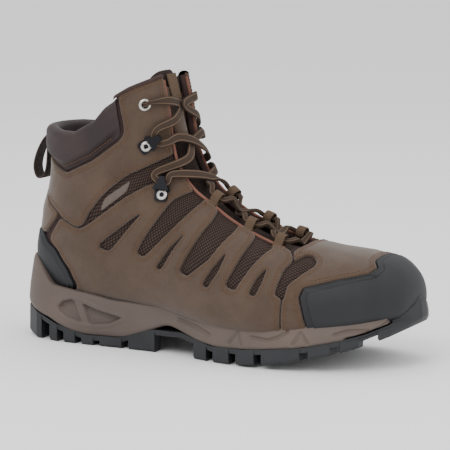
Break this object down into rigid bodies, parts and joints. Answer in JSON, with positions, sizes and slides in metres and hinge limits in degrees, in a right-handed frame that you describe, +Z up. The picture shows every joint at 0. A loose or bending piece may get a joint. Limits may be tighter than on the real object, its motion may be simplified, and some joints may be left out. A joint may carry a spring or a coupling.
{
  "type": "hiking boot",
  "caption": "Mid-cut hiking boot for the right foot: nubuck panels over mesh, rubber toe and heel caps, speed-hook lacing and a lugged sole.",
  "frame": {"origin": "middle of the boot's bounding box, on the ground plane", "axes": "+X to the toe, +Y to the medial side (the boot is a right one), +Z up"},
  "size_m": [0.301, 0.109, 0.1929],
  "materials": {
    "rubber_outsole": "moulded lugged rubber, matt",
    "midsole_foam": "compression moulded foam, satin",
    "shank_steel": "plain strip",
    "board": "pressed fibre board",
    "footbed_foam": "knit covered foam",
    "lining_fabric": "brushed knit",
    "stiffener": "thermoformed sheet",
    "mesh_textile": "open woven mesh",
    "rubber_cap": "fine pebbled rubber",
    "nubuck": "nubuck, fine nap",
    "collar_leather": "smooth padded leather",
    "tongue_mesh": "padded mesh",
    "woven_label": "woven patch",
    "tab_webbing": "flat webbing",
    "piping_cord": "round cord",
    "loop_webbing": "ribbed webbing",
    "hook_metal": "black coated steel",
    "ring_metal": "nickel",
    "lace_cord": "flat woven lace with pale edge lines"
  },
  "bodies": {
    "boot": {"outsole": "rubber_outsole", "midsole": "midsole_foam", "shank": "shank_steel", "insole_board": "board", "footbed": "footbed_foam", "lining": "lining_fabric", "toe_puff": "stiffener", "heel_counter": "stiffener", "textile": "mesh_textile", "toe_cap": "rubber_cap", "heel_cap": "rubber_cap", "vamp": "nubuck", "backstay": "nubuck", "collar": "collar_leather", "tongue": "tongue_mesh", "tongue_patch": "nubuck", "woven_label": "woven_label", "lateral_quarter": "nubuck", "lateral_ankle_panel": "nubuck", "lateral_piping": "piping_cord", "lateral_grommet": "ring_metal", "lateral_washer": "ring_metal", "lateral_loop_1": "loop_webbing", "lateral_loop_2": "loop_webbing", "lateral_loop_3": "loop_webbing", "lateral_hook_1": "hook_metal", "lateral_hook_rivet_1": "ring_metal", "lateral_hook_2": "hook_metal", "lateral_hook_rivet_2": "ring_metal", "medial_quarter": "nubuck", "medial_ankle_panel": "nubuck", "medial_piping": "piping_cord", "medial_grommet": "ring_metal", "medial_washer": "ring_metal", "medial_loop_1": "loop_webbing", "medial_loop_2": "loop_webbing", "medial_loop_3": "loop_webbing", "medial_hook_1": "hook_metal", "medial_hook_rivet_1": "ring_metal", "medial_hook_2": "hook_metal", "medial_hook_rivet_2": "ring_metal", "lace": "lace_cord", "lateral_lace_end": "lace_cord", "lateral_aglet": "ring_metal", "medial_lace_end": "lace_cord", "medial_aglet": "ring_metal"},
    "pull_tab": {"pull_tab": "tab_webbing"}
  },
  "joints": [
    {"name": "pull_tab_swing", "type": "hinge", "parent": "boot", "child": "pull_tab", "pos_m": [-0.13692, 0, 0.143], "axis": [0, 1, 0], "range_deg": [0, 120]}
  ]
}
